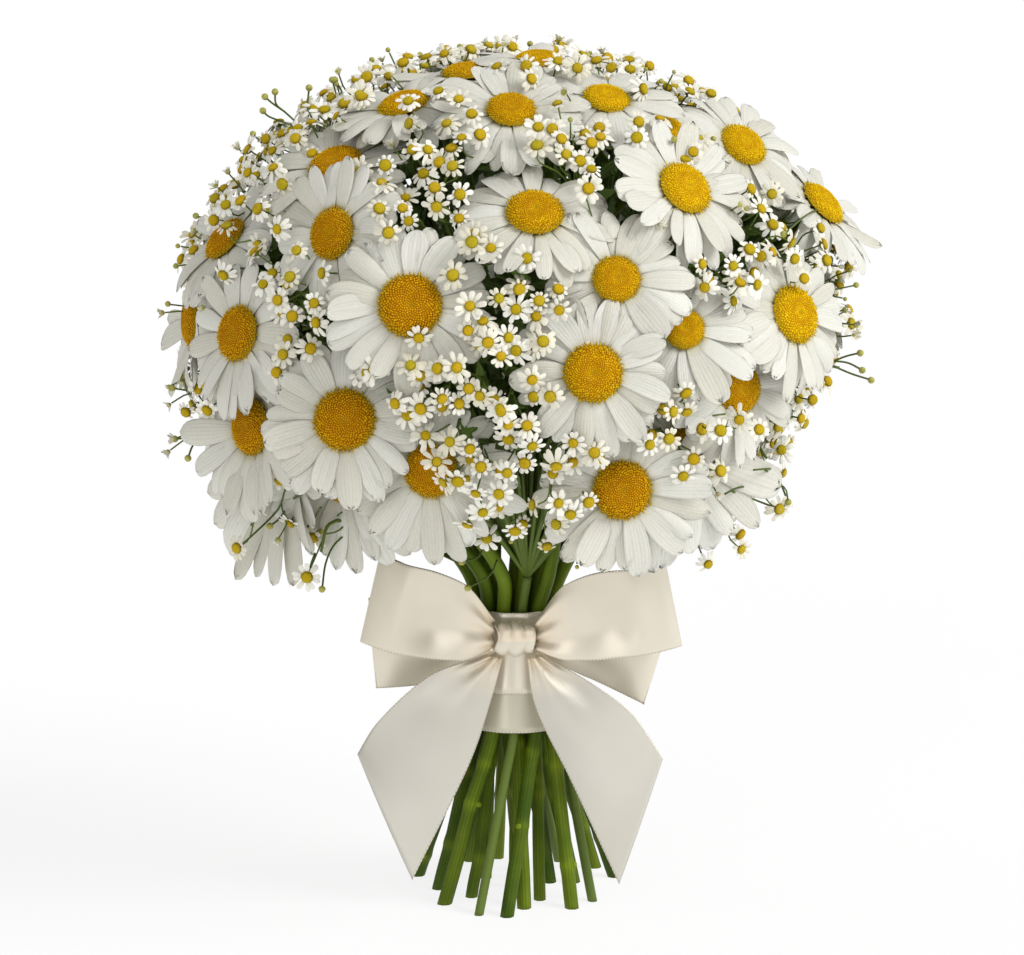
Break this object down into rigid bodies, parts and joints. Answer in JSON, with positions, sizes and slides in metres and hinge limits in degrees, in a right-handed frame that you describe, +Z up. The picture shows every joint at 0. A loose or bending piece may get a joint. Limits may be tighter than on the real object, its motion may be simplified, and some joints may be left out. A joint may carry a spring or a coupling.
{
  "type": "bunch of daisies",
  "caption": "Hand-tied dome of white daisies with sprays of small chamomile, bound at the waist with a satin ribbon and bow, standing on its splayed cut stems.",
  "frame": {"origin": "middle of the bunch's box, on the surface that its stems stand on", "axes": "+Z up along the bunch from its cut stem ends to its dome, -Y towards the bow and the camera, +X to the camera's right"},
  "size_m": [0.2734, 0.2736, 0.347],
  "materials": {
    "stems": "fresh olive-green plant stalk, waxy and faintly ribbed",
    "petals": "soft matt white petal with fine lengthwise ridges",
    "discs": "matt golden florets packed in spirals, greener at the rim",
    "chamomile": "small white petals round yellow-green middles on dark green stalks",
    "ribbon": "ivory satin with a soft sheen and a fine woven edge"
  },
  "bodies": {
    "root": {"daisy_stems": "stems", "petals_crown": "petals", "petals_front": "petals", "petals_right": "petals", "petals_back_right": "petals", "petals_back_left": "petals", "petals_left": "petals", "daisy_disc_01": "discs", "daisy_disc_02": "discs", "daisy_disc_03": "discs", "daisy_disc_04": "discs", "daisy_disc_05": "discs", "daisy_disc_06": "discs", "daisy_disc_07": "discs", "daisy_disc_08": "discs", "daisy_disc_09": "discs", "daisy_disc_10": "discs", "daisy_disc_11": "discs", "daisy_disc_12": "discs", "daisy_disc_13": "discs", "daisy_disc_14": "discs", "daisy_disc_15": "discs", "daisy_disc_16": "discs", "daisy_disc_17": "discs", "daisy_disc_18": "discs", "daisy_disc_19": "discs", "daisy_disc_20": "discs", "daisy_disc_21": "discs", "daisy_disc_22": "discs", "daisy_disc_23": "discs", "daisy_disc_24": "discs", "daisy_disc_25": "discs", "daisy_disc_26": "discs", "daisy_disc_27": "discs", "daisy_disc_28": "discs", "daisy_disc_29": "discs", "daisy_disc_30": "discs", "daisy_disc_31": "discs", "daisy_disc_32": "discs", "daisy_disc_33": "discs", "daisy_disc_34": "discs", "daisy_disc_35": "discs", "daisy_disc_36": "discs", "daisy_disc_37": "discs", "daisy_disc_38": "discs", "daisy_disc_39": "discs", "daisy_disc_40": "discs", "daisy_disc_41": "discs", "daisy_disc_42": "discs", "daisy_disc_43": "discs", "chamomile_front": "chamomile", "chamomile_right": "chamomile", "chamomile_back": "chamomile", "chamomile_left": "chamomile", "ribbon_wrap": "ribbon", "bow_knot": "ribbon", "bow_loops_left": "ribbon", "bow_loops_right": "ribbon", "bow_tail_left": "ribbon", "bow_tail_right": "ribbon"}
  },
  "joints": []
}
